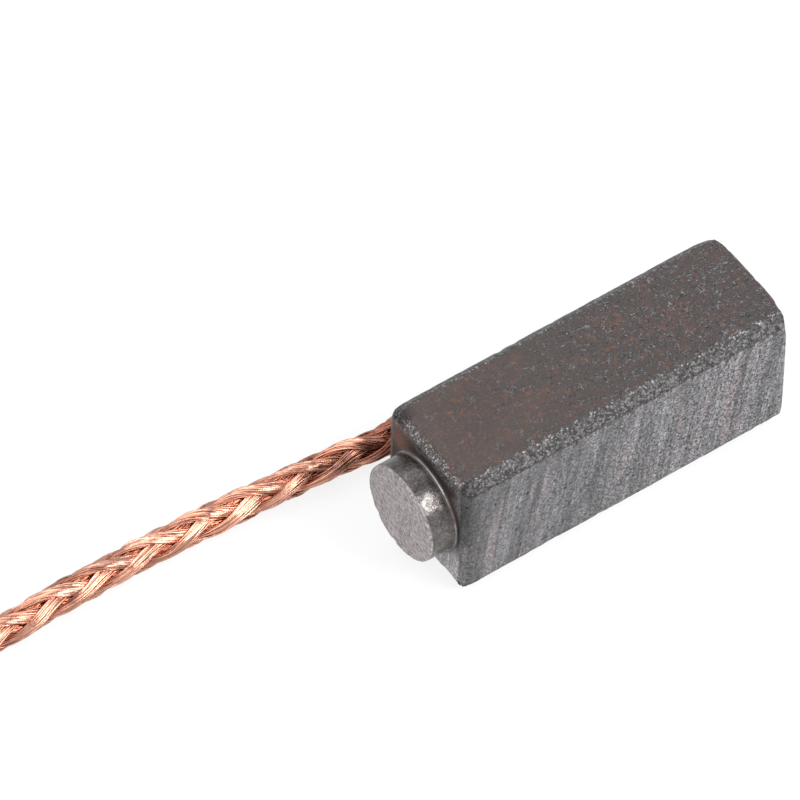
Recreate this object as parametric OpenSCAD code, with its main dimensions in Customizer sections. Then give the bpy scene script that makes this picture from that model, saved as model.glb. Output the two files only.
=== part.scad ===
// Carbon brush for a small electric motor: a pressed copper-graphite block with a
// moulded spring spigot, and a copper braid pigtail tamped into its hidden side.
//
// +X runs along the block to the contact face, +Y is the side that the pigtail
// leaves, +Z is up, in the pressing direction. The block lies on its underside,
// and the origin is under the middle of the block and its spigot.
// All sizes are in millimetres.

/* [Block] */
// Width of the block across the brush holder
block_w = 5; // [4:0.1:8]
// Height of the block in the pressing direction
block_h = 6; // [5:0.1:9]
// Length of the block from its rear face to its contact face
block_l = 14.4; // [11:0.1:22]
// Bevel that the punches leave along the four long edges
long_bevel = 0.45; // [0.1:0.05:0.8]
// Bevel that the punches leave above and below the rear face
rear_bevel = 0.35; // [0.1:0.05:0.6]
// Small bevel above and below the contact face
contact_bevel = 0.15; // [0.05:0.05:0.4]
// Radius of the four upright corners, left by the die
corner_r = 0.4; // [0.1:0.05:0.6]

/* [Spring spigot] */
// Diameter of the round spigot that centres the spring
spigot_d = 3.9; // [2.5:0.1:4.2]
// Length of the spigot beyond the rear face
spigot_l = 1.15; // [0.8:0.05:2]
// Bevel round the spigot's end
spigot_bevel = 0.1; // [0.05:0.05:0.3]
// How far the fillet of flash at the spigot's foot stands out from the spigot
flash_out = 0.08; // [0.02:0.02:0.14]
// Height of that fillet along the spigot
flash_t = 0.08; // [0.04:0.02:0.16]

/* [Tamping hole] */
// Distance of the hole's axis from the rear face
hole_from_rear = 4.6; // [3:0.1:7]
// Height of the hole's axis above the underside
hole_z = 1.9; // [1.9:0.1:4]
// Diameter of the tapered hole at its mouth
hole_mouth_d = 2.7; // [2:0.1:3.2]
// Diameter of the tapered hole at its floor
hole_floor_d = 2.1; // [1.6:0.1:2.6]
// Depth of the hole from the block's side
hole_depth = 3.4; // [2.8:0.1:3.8]
// How far the tamped powder lies below the block's side at the hole's wall
powder_sink = 0.2; // [0.05:0.05:0.4]
// How far the tamped powder lies below the block's side at the braid
powder_collar_sink = 0.05; // [0:0.01:0.1]

/* [Pigtail] */
// Diameter of the copper braid
braid_d = 1.2; // [0.8:0.05:1.5]
// Length of braid that the tamped powder holds
root_l = 2.8; // [1.5:0.1:3.2]
// Length of the tinned tip at the far end
tip_l = 2.5; // [1.5:0.1:4]
// Rounding of the tinned tip's end
tip_round = 0.3; // [0.05:0.05:0.35]

/* [Hidden] */
$fn = 72;

// Margin by which a cutting shape runs past what it cuts
cut = 1;
// Place of the rear face and the contact face along X
rear_x = spigot_l - (block_l + spigot_l) / 2;
contact_x = rear_x + block_l;
// Height of the spigot's axis
spigot_z = block_h / 2;
// Place of the tamping hole along X
hole_x = rear_x + hole_from_rear;
// Place of the pigtail's side of the block along Y
side_y = block_w / 2;

// Centreline of the free braid, from the hole's mouth to the tinned tip. It leaves
// the side squarely, bends down and back to the surface, and lies along it.
pigtail_route = [
    [-2.025, 2.5, 1.9], [-2.025, 2.62, 1.9], [-2.2, 3.42, 1.8], [-2.66, 4.1, 1.54],
    [-3.34, 4.5, 1.17], [-4.1, 4.6, 0.84], [-4.95, 4.55, 0.65], [-5.8, 4.63, 0.6],
    [-6.7, 4.77, 0.6], [-7.6, 4.86, 0.6], [-8.6, 4.92, 0.6], [-9.9, 5.02, 0.6],
    [-11.4, 5.12, 0.6], [-12.9, 5.2, 0.6], [-14.4, 5.25, 0.6], [-15.9, 5.3, 0.6],
    [-17.4, 5.3, 0.6], [-18.9, 5.3, 0.6], [-20.4, 5.25, 0.6], [-21.9, 5.2, 0.6],
    [-23.5, 5.1, 0.6], [-25.1, 5, 0.6], [-26.7, 4.9, 0.6], [-28.3, 4.85, 0.6],
    [-29.9, 4.85, 0.6], [-31.5, 4.9, 0.6], [-33.1, 5, 0.6], [-34.6, 5.05, 0.6],
    [-36, 5.05, 0.6], [-37, 5.05, 0.6], [-38, 5.05, 0.6]
];
// Sides of the plain tube that stands for the braid
tube_sides = 8;

function unit(v) = v / norm(v);

// Direction of a route at one of its points
function heading(route, i) =
    unit(route[min(i + 1, len(route) - 1)] - route[max(i - 1, 0)]);

// Corners of the tube's ring at one point of a route
function ring(route, i, r) =
    let (
        ahead = heading(route, i),
        across = unit(cross(ahead, [0, 0, 1])),
        up = cross(across, ahead)
    )
    [for (k = [0 : tube_sides - 1])
        let (a = 360 * (k + 0.5) / tube_sides)
        route[i] + r * (cos(a) * across + sin(a) * up)];

// One closed tube of radius r along a route
module tube_along(route, r) {
    last = len(route) - 1;
    corners = [for (i = [0 : last]) each ring(route, i, r)];
    walls = [for (i = [0 : last - 1], k = [0 : tube_sides - 1])
        let (
            near = i * tube_sides,
            far = near + tube_sides,
            next = (k + 1) % tube_sides
        )
        [near + k, near + next, far + next, far + k]];
    first_cap = [for (k = [0 : tube_sides - 1]) tube_sides - 1 - k];
    last_cap = [for (k = [0 : tube_sides - 1]) last * tube_sides + k];
    polyhedron(corners, concat([first_cap], walls, [last_cap]), convexity = 6);
}

// A rectangle from its low corner, with its four corners cut off at 45 degrees:
// the two low in x by low_cut and the two high in x by high_cut
module bevelled_rect(size, low_cut, high_cut) {
    polygon([
        [low_cut, 0], [size.x - high_cut, 0], [size.x, high_cut],
        [size.x, size.y - high_cut], [size.x - high_cut, size.y],
        [low_cut, size.y], [0, size.y - low_cut], [0, low_cut]
    ]);
}

// A rectangle from its low corner with round corners
module round_rect(size, r) {
    translate([r, 0]) square([size.x - 2 * r, size.y]);
    translate([0, r]) square([size.x, size.y - 2 * r]);
    for (x = [r, size.x - r], y = [r, size.y - r])
        translate([x, y]) circle(r);
}

// The pressed body: its section along X, its side profile along Y and its plan
// along Z, all met in one solid
module pressed_body() {
    intersection() {
        translate([rear_x, -block_w / 2, 0])
            rotate([90, 0, 90])
                linear_extrude(block_l)
                    bevelled_rect([block_w, block_h], long_bevel, long_bevel);
        translate([rear_x, block_w / 2 + cut, 0])
            rotate([90, 0, 0])
                linear_extrude(block_w + 2 * cut)
                    bevelled_rect([block_l, block_h], rear_bevel, contact_bevel);
        translate([rear_x, -block_w / 2, -cut])
            linear_extrude(block_h + 2 * cut)
                round_rect([block_l, block_w], corner_r);
    }
}

// The spigot on the rear face, with its bevelled end and the fillet of flash at
// its foot; it is rooted in the block by the margin
module spigot() {
    r = spigot_d / 2;
    translate([rear_x, 0, spigot_z])
        rotate([0, -90, 0])
            rotate_extrude()
                polygon([
                    [0, -cut], [r + flash_out, -cut], [r + flash_out, 0],
                    [r, flash_t], [r, spigot_l - spigot_bevel],
                    [r - spigot_bevel, spigot_l], [0, spigot_l]
                ]);
}

// Places what is turned about the tamping hole's axis: z = 0 is the block's side
// and +z points out of the hole
module on_hole_axis() {
    translate([hole_x, side_y, hole_z]) rotate([-90, 0, 0]) children();
}

// Radius of the tapered hole at a depth below the block's side
function hole_r(depth) =
    (hole_mouth_d + (hole_floor_d - hole_mouth_d) * depth / hole_depth) / 2;

// The one-piece block of copper graphite
module carbon_block() {
    color("dimgray")
        difference() {
            union() {
                pressed_body();
                spigot();
            }
            on_hole_axis()
                rotate_extrude()
                    polygon([
                        [0, -hole_depth], [hole_r(hole_depth), -hole_depth],
                        [hole_r(-cut), cut], [0, cut]
                    ]);
        }
}

// Copper powder rammed round the braid's end, dished at the mouth of the hole
module tamped_powder() {
    color("sienna")
        on_hole_axis()
            rotate_extrude()
                polygon([
                    [0, -hole_depth], [hole_r(hole_depth), -hole_depth],
                    [hole_r(powder_sink), -powder_sink],
                    [braid_d / 2, -powder_collar_sink],
                    [braid_d / 2, -root_l], [0, -root_l]
                ]);
}

// The end of the braid that the powder holds, up to the plane of the block's side
module pigtail_root() {
    color("peru")
        on_hole_axis()
            translate([0, 0, -root_l]) cylinder(h = root_l, d = braid_d);
}

// The free length of the braid
module pigtail() {
    color("sandybrown") tube_along(pigtail_route, braid_d / 2);
}

// The tinned end that keeps the braid's wires together
module tinned_tip() {
    r = braid_d / 2;
    route_end = pigtail_route[len(pigtail_route) - 1];
    color("silver")
        translate(route_end)
            rotate([0, -90, 0])
                rotate_extrude() {
                    square([r, tip_l - tip_round]);
                    square([r - tip_round, tip_l]);
                    translate([r - tip_round, tip_l - tip_round])
                        intersection() {
                            circle(tip_round);
                            square(tip_round);
                        }
                }
}

carbon_block();
tamped_powder();
pigtail_root();
pigtail();
tinned_tip();
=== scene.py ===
"""Dresses the carbon brush: a pressed copper-graphite block with its spring spigot, the
braided copper pigtail, the powder that holds it, and the dipped tip at its far end."""

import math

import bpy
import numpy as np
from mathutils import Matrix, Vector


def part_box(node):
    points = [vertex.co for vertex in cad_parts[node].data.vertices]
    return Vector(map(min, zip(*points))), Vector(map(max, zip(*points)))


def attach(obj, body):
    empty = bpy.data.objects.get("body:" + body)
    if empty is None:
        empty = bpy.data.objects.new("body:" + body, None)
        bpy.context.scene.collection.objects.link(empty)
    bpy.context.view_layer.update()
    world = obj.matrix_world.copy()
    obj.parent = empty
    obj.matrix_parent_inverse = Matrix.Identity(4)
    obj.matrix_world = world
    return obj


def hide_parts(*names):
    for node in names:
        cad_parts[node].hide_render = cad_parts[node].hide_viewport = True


bl_info = {
    "name": "Carbon Brush",
    "version": (1, 0, 0),
    "blender": (4, 5, 0),
    "location": "View3D > Sidebar > Carbon Brush",
    "description": "Builds a motor's carbon brush with its braided pigtail",
    "category": "Add Mesh",
}

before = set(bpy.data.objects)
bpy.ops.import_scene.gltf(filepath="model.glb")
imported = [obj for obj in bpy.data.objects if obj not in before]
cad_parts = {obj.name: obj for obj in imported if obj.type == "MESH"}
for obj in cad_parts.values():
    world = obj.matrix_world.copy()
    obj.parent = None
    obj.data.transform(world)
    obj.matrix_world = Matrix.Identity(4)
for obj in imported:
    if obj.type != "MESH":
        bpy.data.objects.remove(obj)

MM = 0.001

# Where the free braid lies, from the mouth of its hole to the dipped tip, in metres.
PIGTAIL_ROUTE = [
    (-0.002025, 0.0025, 0.0019), (-0.002025, 0.00262, 0.0019),
    (-0.0022, 0.00342, 0.0018), (-0.00266, 0.0041, 0.00154),
    (-0.00334, 0.0045, 0.00117), (-0.0041, 0.0046, 0.00084),
    (-0.00495, 0.00455, 0.00065), (-0.0058, 0.00463, 0.0006),
    (-0.0067, 0.00477, 0.0006), (-0.0076, 0.00486, 0.0006),
    (-0.0086, 0.00492, 0.0006), (-0.0099, 0.00502, 0.0006),
    (-0.0114, 0.00512, 0.0006), (-0.0129, 0.0052, 0.0006),
    (-0.0144, 0.00525, 0.0006), (-0.0159, 0.0053, 0.0006),
    (-0.0174, 0.0053, 0.0006), (-0.0189, 0.0053, 0.0006),
    (-0.0204, 0.00525, 0.0006), (-0.0219, 0.0052, 0.0006),
    (-0.0235, 0.0051, 0.0006), (-0.0251, 0.005, 0.0006),
    (-0.0267, 0.0049, 0.0006), (-0.0283, 0.00485, 0.0006),
    (-0.0299, 0.00485, 0.0006), (-0.0315, 0.0049, 0.0006),
    (-0.0331, 0.005, 0.0006), (-0.0346, 0.00505, 0.0006),
    (-0.036, 0.00505, 0.0006), (-0.037, 0.00505, 0.0006),
    (-0.038, 0.00505, 0.0006),
]

# Half the thickness and half the width of a strand, as shares of the braid's diameter.
STRAND_OUT = 0.130
STRAND_ACROSS = 0.188

# The gap between the powder and its hole, and how far the hole's cutter stands out.
HOLE_CLEARANCE = 0.012 * MM
CUTTER_REACH = 0.6 * MM

# Sides of the hole and its powder, and of the dipped tip.
HOLE_SIDES = 96
TIP_SIDES = 64

# The kinds of face round the block's section.
PRESSED, SIDE, BEVEL = range(3)

# How far from its edges the block is worn, and how close to them the nearest points lie.
EDGE_WIDTH = 0.11 * MM
SOFT_EDGE = 0.035 * MM

# How far the crumbly crests, and the lip at the rear, reach from their edges.
CREST_REACH = 0.09 * MM
LIP_REACH = 0.26 * MM

# Depths of the first rings from each end of the block's body.
NEAR_END = (0, 0.01 * MM, 0.03 * MM, 0.06 * MM)

# The smallest ring of an end face, as a share of the face, and how much coarser than the
# body an end face is.
INNERMOST = 0.015
END_COARSENESS = 1.25

# The flash at the spigot's foot, from the rear face outwards: how far out each ring is and
# how far over the spigot's wall, in heights of the flash.
FLASH_PROFILE = ((0, 1), (0.25, 1), (0.8, 0.75), (1, 0.1))

# How far round from the -Y side towards the top the painted highlight on the spigot's wall
# lies, the width of that stripe, and how much further round the painted highlight on the flash
# lies, in radians.
SHINE_TURN = 0.96
SHINE_WIDTH = 0.16
GLINT_LEAD = 0.14

# The width of the camera's sensor, in millimetres, and its nearest sight, in metres.
SENSOR_WIDTH = 36
CLIP_START = 0.01

# Each softbox's direction from the brush, its distance and side in metres, and its level.
SOFTBOXES = {
    "Key softbox": ((0.37, -0.60, 0.72), 0.34, 0.18, 1.0),
    "Fill softbox": ((-0.75, -0.25, 0.6), 0.40, 0.30, 0.5),
    "Top softbox": ((0.1, 0.5, 0.86), 0.40, 0.25, 0.35),
}

# The floor's brightness and roughness, and how much of it glows white where it is seen.
FLOOR_BRIGHTNESS = 0.85
FLOOR_ROUGHNESS = 0.9
FLOOR_GLOW = 0.82


# ---------------------------------------------------------------- settings


def length_prop(name, description, default):
    """A size in metres."""
    return bpy.props.FloatProperty(
        name=name,
        description=description,
        default=default,
        min=0.0,
        precision=6,
        subtype="DISTANCE",
        unit="LENGTH",
    )


def angle_prop(name, description, degrees):
    """An angle, given in degrees."""
    return bpy.props.FloatProperty(
        name=name, description=description, default=math.radians(degrees), subtype="ANGLE"
    )


def colour_prop(name, description, default):
    """A surface colour, in linear values."""
    return bpy.props.FloatVectorProperty(
        name=name,
        description=description,
        default=default,
        size=3,
        min=0.0,
        max=1.0,
        subtype="COLOR",
    )


class BRUSH_PG_block(bpy.types.PropertyGroup):
    """The pressed block."""

    long_bevel: length_prop("Long bevel", "Bevel along the four long edges", 0.45 * MM)
    rear_bevel: length_prop("Rear bevel", "Bevel above and below the rear face", 0.35 * MM)
    contact_bevel: length_prop(
        "Contact bevel", "Bevel above and below the contact face", 0.15 * MM
    )
    corner_radius: length_prop("Corner radius", "Radius of the upright corners", 0.4 * MM)
    spigot_diameter: length_prop("Spigot diameter", "Diameter of the spigot", 3.9 * MM)
    spigot_length: length_prop("Spigot length", "Length of the spigot", 1.15 * MM)
    spigot_bevel: length_prop("Spigot bevel", "Worn bevel round the spigot's end", 0.1 * MM)
    flash: length_prop("Flash", "Height and reach of the flash at the spigot's foot", 0.08 * MM)
    hole_floor: length_prop("Hole floor", "Diameter of the tamping hole's floor", 2.1 * MM)
    mesh_step: length_prop("Mesh step", "Distance between the block's vertices", 0.078 * MM)
    chip_depth: length_prop("Chip depth", "Depth of the chips along the edges", 0.03 * MM)
    worn_corner: length_prop("Worn corners", "Depth that the end corners have lost", 0.2 * MM)
    pressed_colour: colour_prop(
        "Pressed colour", "Colour of the faces that the punches pressed", (0.055, 0.042, 0.0385)
    )
    faded_colour: colour_prop(
        "Faded colour", "Colour of those faces by the contact end", (0.045, 0.038, 0.037)
    )
    pit_colour: colour_prop("Pit colour", "Colour of the pits beside scuffs", (0.016, 0.016, 0.019))
    scuff_colour: colour_prop("Scuff colour", "Colour of the short scuffs", (0.21, 0.23, 0.25))
    rubbed_colour: colour_prop(
        "Rubbed colour", "Colour of the sides that slid out of the die", (0.140, 0.136, 0.142)
    )
    streak_colour: colour_prop("Streak colour", "Colour of the sides' streaks", (0.27, 0.215, 0.220))
    broken_colour: colour_prop(
        "Crumbled colour", "Colour of the crumbly bevels", (0.105, 0.101, 0.101)
    )
    end_colour: colour_prop("Spigot end", "Colour of the spigot's end", (0.300, 0.272, 0.276))
    wall_colour: colour_prop("Spigot wall", "Colour of the burnished wall", (0.165, 0.150, 0.145))
    # The colour of the painted highlight along the flash's ridge.
    flash_highlight_colour: colour_prop("Flash colour", "Colour of the flash's ridge", (0.82, 0.83, 0.86))
    fleck_colour: colour_prop(
        "Fleck colour", "Colour of the copper that shows in the graphite", (0.135, 0.058, 0.036)
    )
    # The colour of the painted glints on the brightest crumbs.
    glint_colour: colour_prop("Glint colour", "Colour of the bright crumbs", (0.50, 0.52, 0.56))


class BRUSH_PG_braid(bpy.types.PropertyGroup):
    """The copper braid and its ends."""

    diameter: length_prop("Diameter", "Diameter of the braid", 1.2 * MM)
    root_length: length_prop("Root length", "Braid that is rammed into the hole", 2.8 * MM)
    tip_length: length_prop("Tip length", "Braid that is dipped in tin", 2.5 * MM)
    tip_round: length_prop("Tip rounding", "Rounding of the dipped end", 0.3 * MM)
    pitch: length_prop("Pitch", "Length of one full turn of a strand", 8.6 * MM)
    ring_step: length_prop("Ring step", "Distance between the rings of a strand", 0.13 * MM)
    wire_diameter: length_prop("Wire diameter", "Diameter of one wire", 0.074 * MM)
    wires: bpy.props.IntProperty(
        name="Wires", description="Wires that show round one strand", default=18, min=6, max=18
    )
    phase: angle_prop("Phase", "Turn of the plait about its own line", -34.8)
    copper_colour: colour_prop("Copper", "Colour of bare copper wire", (0.74, 0.385, 0.275))
    dull_colour: colour_prop("Dull copper", "Colour of the duller wire", (0.40, 0.20, 0.165))
    # Painted shade deep in the plait.
    crevice_shade_colour: colour_prop("Crevices", "Colour deep in the plait", (0.36, 0.115, 0.065))
    # Tarnish and painted shade on the braid by the block.
    tarnish_and_shade_colour: colour_prop("Tarnish", "Colour of the braid by the block", (0.20, 0.062, 0.04))
    powder_colour: colour_prop("Powder", "Colour of rammed copper powder", (0.34, 0.16, 0.10))
    grain_colour: colour_prop("Bright grains", "Colour of the powder's grains", (0.85, 0.48, 0.33))
    tin_colour: colour_prop("Tin", "Colour of the dipped tip", (0.44, 0.435, 0.425))


class BRUSH_PG_stage(bpy.types.PropertyGroup):
    """Camera, lights and floor."""

    azimuth: angle_prop("Azimuth", "Side that the camera stands on", -36.26)
    elevation: angle_prop("Elevation", "Height of the camera over the surface", 51.53)
    roll: angle_prop("Roll", "Lean of the camera about its own line of sight", 1.36)
    distance: length_prop("Distance", "Distance of the camera from its aim", 0.4016)
    aim: bpy.props.FloatVectorProperty(
        name="Aim", description="Point that the camera looks at",
        default=(-0.00401, 0.005248, 0.001478), size=3, subtype="XYZ", unit="LENGTH",
    )
    lens: bpy.props.FloatProperty(
        name="Lens", description="Focal length on a 36 mm wide sensor", default=497.5,
        subtype="DISTANCE_CAMERA",
    )
    floor_size: length_prop("Floor size", "Side of the square floor", 1.2)
    ambient: bpy.props.FloatProperty(
        name="Ambient", description="Strength of the surrounding light", default=0.55
    )


# ------------------------------------------------------------ mesh helpers


def value_noise(points, cell, seed):
    """Smooth noise from -1 to 1 at points (n, 3); its bumps are about one cell long. cell
    is one size, or one for each axis."""
    scaled = np.asarray(points, float) / np.asarray(cell, float)
    base = np.floor(scaled).astype(np.int64)
    part = scaled - base
    part = part * part * (3 - 2 * part)
    total = np.zeros(len(scaled))
    for corner in np.ndindex(2, 2, 2):
        key = (base + np.array(corner)).astype(np.uint64)
        mixed = (
            key[:, 0] * np.uint64(73856093)
            ^ key[:, 1] * np.uint64(19349663)
            ^ key[:, 2] * np.uint64(83492791)
            ^ np.uint64(seed * 2654435761 % 2**32)
        )
        mixed ^= mixed >> np.uint64(15)
        mixed *= np.uint64(2246822519)
        mixed ^= mixed >> np.uint64(13)
        mixed *= np.uint64(3266489917)
        mixed ^= mixed >> np.uint64(16)
        value = (mixed % np.uint64(2**24)).astype(float) / 2**23 - 1
        weight = np.prod(np.where(corner, part, 1 - part), axis=1)
        total += weight * value
    return total


def noise_along(marks, row, cell, seed):
    """Noise at marks along a line. Each row has its own."""
    rows = np.full(len(marks), row)
    return value_noise(np.column_stack([marks, rows, np.zeros(len(marks))]), cell, seed)


def step_up(value, low, high):
    """0 below low, 1 above high, and smooth between."""
    share = np.clip((value - low) / (high - low), 0, 1)
    return share * share * (3 - 2 * share)


def fade(distance, width):
    """1 at no distance, and fading out within about two widths either way."""
    return np.exp(-((distance / width) ** 2))


def unit(vectors):
    """The vectors (..., 3), each made 1 long."""
    return vectors / np.linalg.norm(vectors, axis=-1, keepdims=True)


def spaced(start, end, step):
    """Evenly spaced numbers from start up to but not including end, about a step apart."""
    count = max(1, round(abs(end - start) / step))
    return np.linspace(start, end, count, endpoint=False)


def full_turn(sides):
    """Evenly spaced angles round one turn."""
    return np.linspace(0, 2 * math.pi, sides, endpoint=False)


def hole_ring(low, high, radius, y):
    """A ring about the hole's own line, which runs along Y in the middle of a box."""
    turn = full_turn(HOLE_SIDES)
    x = (low.x + high.x) / 2 + radius * np.sin(turn)
    z = (low.z + high.z) / 2 + radius * np.cos(turn)
    return np.column_stack([x, np.full(HOLE_SIDES, y), z])


def grid_faces(rings, sides):
    """The quads between rings of vertices, each ring closed on itself."""
    ring, side = np.meshgrid(np.arange(rings - 1), np.arange(sides), indexing="ij")
    near = ring * sides
    beyond = (side + 1) % sides
    quads = [near + side, near + beyond, near + sides + beyond, near + sides + side]
    return np.stack(quads, axis=-1).reshape(-1, 4)


def closed_loft(rings):
    """Vertices and faces of a closed skin over rings (r, n, 3). Each end closes on one
    vertex in the middle of its last ring."""
    count, sides = rings.shape[:2]
    vertices = np.vstack([rings.reshape(-1, 3), rings[0].mean(0), rings[-1].mean(0)])
    faces = grid_faces(count, sides).tolist()
    start, end = count * sides, count * sides + 1
    last = (count - 1) * sides
    for side in range(sides):
        beyond = (side + 1) % sides
        faces.append([start, beyond, side])
        faces.append([end, last + side, last + beyond])
    return vertices, faces


def new_object(name, vertices, faces):
    """A mesh object in the scene."""
    mesh = bpy.data.meshes.new(name)
    mesh.from_pydata(np.asarray(vertices).tolist(), [], faces)
    made = bpy.data.objects.new(name, mesh)
    bpy.context.scene.collection.objects.link(made)
    return made


def new_piece(name, vertices, faces, material):
    """A mesh object with smooth shading that rides on the brush's one body."""
    piece = new_object(name, vertices, faces)
    mesh = piece.data
    mesh.validate()
    mesh.polygons.foreach_set("use_smooth", [True] * len(mesh.polygons))
    mesh.materials.append(material)
    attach(piece, "root")
    return piece


def paint(piece, name, values):
    """Stores one number for each vertex, for a material to read."""
    layer = piece.data.attributes.new(name, "FLOAT", "POINT")
    layer.data.foreach_set("value", np.asarray(values, dtype=np.float32))


def box_corners(node):
    """The lowest and the highest corner of a node's box."""
    low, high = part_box(node)
    return Vector(low), Vector(high)


# -------------------------------------------------------- material helpers


def feed(tree, socket, value):
    """Puts a number, a colour or another node's output into a socket."""
    if isinstance(value, bpy.types.NodeSocket):
        tree.links.new(value, socket)
    elif socket.type == "RGBA":
        socket.default_value = (*value, 1)
    else:
        socket.default_value = value


def add_node(tree, kind, inputs, **settings):
    """A new node with its settings, and with values fed into inputs by name or number."""
    node = tree.nodes.new("ShaderNode" + kind)
    for name, value in settings.items():
        setattr(node, name, value)
    for name, value in inputs.items():
        feed(tree, node.inputs[name], value)
    return node


class Recipe:
    """A material's node tree, with short calls to add to it. Places are in millimetres."""

    def __init__(self, name):
        self.material = bpy.data.materials.new(name)
        self.material.use_nodes = True
        self.tree = self.material.node_tree
        place = self.node("TexCoord", {}).outputs["Object"]
        scaled = self.node("VectorMath", {0: place, "Scale": 1 / MM}, operation="SCALE")
        self.millimetres = scaled.outputs[0]

    def node(self, kind, inputs, **settings):
        return add_node(self.tree, kind, inputs, **settings)

    def vector(self, operation, first, second):
        return self.node("VectorMath", {0: first, 1: second}, operation=operation).outputs[0]

    def maths(self, operation, first, second=0.0):
        return self.node("Math", {0: first, 1: second}, operation=operation).outputs[0]

    def times(self, first, *others):
        """The product of two or more values."""
        for other in others:
            first = self.maths("MULTIPLY", first, other)
        return first

    def larger(self, first, second):
        return self.maths("MAXIMUM", first, second)

    def attribute(self, name):
        """A number that was painted on the piece."""
        return self.node("Attribute", {}, attribute_name=name).outputs["Fac"]

    def axes(self):
        """The place along each axis."""
        return self.node("SeparateXYZ", {0: self.millimetres}).outputs

    def turned_about_x(self, angle):
        """The place, turned about the X axis."""
        inputs = {"Vector": self.millimetres, "Angle": angle}
        return self.node("VectorRotate", inputs, rotation_type="X_AXIS").outputs[0]

    def noise(self, scale, detail=2.0, roughness=0.5, stretch=None, shift=0.0, place=None):
        """Noise with scale bumps to the millimetre, or fewer along an axis that stretch
        gives a share below 1."""
        place = place or self.millimetres
        if stretch is not None:
            place = self.vector("MULTIPLY", place, stretch)
        place = self.vector("ADD", place, (shift, shift, shift))
        inputs = {"Vector": place, "Scale": scale, "Detail": detail, "Roughness": roughness}
        return self.node("TexNoise", inputs).outputs["Fac"]

    def cells(self, scale, shift=0.0):
        """Distance to the middle of the nearest cell, and a random number of that cell."""
        place = self.vector("ADD", self.millimetres, (shift, shift, shift))
        cells = self.node("TexVoronoi", {"Vector": place, "Scale": scale})
        chance = self.node("SeparateColor", {0: cells.outputs["Color"]}).outputs[0]
        return cells.outputs["Distance"], chance

    def spots(self, scale, outer, inner, rare, certain, shift=0.0):
        """Round spots that fade in from the distance outer to inner, in those cells whose
        random number is above rare, and fully above certain."""
        distance, chance = self.cells(scale, shift)
        return self.times(self.ramp(distance, outer, inner), self.ramp(chance, rare, certain))

    def scuffs(self, scale, low, high, seed):
        """Short thin scuffs, and the pits that run beside them, where another noise rises
        from low to high."""
        line = self.noise(scale, 2, 0.6, stretch=(0.7, 1.0, 1.0), shift=seed)
        where = self.ramp(self.noise(scale * 0.8, 2, 0.5, shift=seed + 7), low, high)

        def beside(level, outer, inner):
            away = self.maths("ABSOLUTE", self.maths("SUBTRACT", line, level))
            return self.times(self.ramp(away, outer, inner), where)

        return beside(0.5, 0.022, 0.006), beside(0.54, 0.032, 0.012)

    def ramp(self, value, low, high, bottom=0.0, top=1.0):
        """Takes value from low..high to bottom..top, smoothly and no further."""
        inputs = {"Value": value, "From Min": low, "From Max": high, "To Min": bottom, "To Max": top}
        return self.node("MapRange", inputs, interpolation_type="SMOOTHSTEP").outputs["Result"]

    def blend(self, share, below, above):
        """A colour that goes from below to above as share goes from 0 to 1."""
        inputs = {"Factor": share, 6: below, 7: above}
        return self.node("Mix", inputs, data_type="RGBA").outputs[2]

    def lerp(self, share, below, above):
        """A number that does the same."""
        return self.node("Mix", {0: share, 2: below, 3: above}, data_type="FLOAT").outputs[0]

    def shade(self, colour, share):
        """A colour made lighter or darker by a factor."""
        return self.vector("MULTIPLY", colour, self.spread(share))

    def spread(self, value, axes="XYZ"):
        """A vector with the same number on each of some axes."""
        return self.node("CombineXYZ", {axis: value for axis in axes}).outputs[0]

    def relief(self, height, depth):
        """Bumps the surface by height times depth, in metres."""
        bump = self.node("Bump", {"Strength": 1.0, "Distance": depth, "Height": height})
        self.surface(Normal=bump.outputs["Normal"])

    def surface(self, **values):
        """Sets inputs of the shader, with _ for each space in a name."""
        shader = self.tree.nodes["Principled BSDF"]
        for name, value in values.items():
            feed(self.tree, shader.inputs[name.replace("_", " ")], value)


# --------------------------------------------------------------- materials


def pressed_skin(mat, block, away):
    """Colour of the pressed faces: a brown skin with coppery smudges, and short scuffs
    beside small pits. Also gives the scuffs and the pits."""
    cloud = mat.noise(0.55, 3, 0.6)
    skin = mat.shade(block.pressed_colour, mat.ramp(cloud, 0.3, 0.7, 0.9, 1.1))
    skin = mat.blend(mat.ramp(away, -6.0, 1.0, 0, 0.8), skin, block.faded_colour)
    broad = mat.ramp(mat.noise(1.5, 3, 0.6, shift=21), 0.5, 0.72, 0, 0.5)
    small = mat.ramp(mat.noise(4.2, 3, 0.6, shift=13), 0.54, 0.68)
    small = mat.times(small, mat.ramp(mat.noise(0.6, 1, shift=33), 0.4, 0.62, 0.18, 0.7))
    skin = mat.blend(mat.larger(small, mat.times(broad, 0.6)), skin, block.fleck_colour)

    # Scuffs and pits come more often towards the contact end.
    often = mat.ramp(away, -6.5, 3.0, 0.35, 1.0)
    fine_often = mat.ramp(away, -5.0, 6.0, 0.2, 0.9)
    scuffs, pits = mat.scuffs(3.8, 0.52, 0.60, 41)
    fine_scuffs, fine_pits = mat.scuffs(7.0, 0.46, 0.56, 57)
    specks = mat.spots(5.5, 0.34, 0.14, 0.74, 0.82, shift=47)
    scuffs = mat.larger(mat.times(scuffs, often), mat.times(fine_scuffs, fine_often))
    pits = mat.larger(mat.times(pits, often), mat.times(fine_pits, fine_often))
    pits = mat.larger(pits, mat.times(specks, often))
    skin = mat.blend(mat.times(pits, 0.85), skin, block.pit_colour)
    return mat.blend(mat.times(scuffs, 0.72), skin, block.scuff_colour), scuffs, pits


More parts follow.
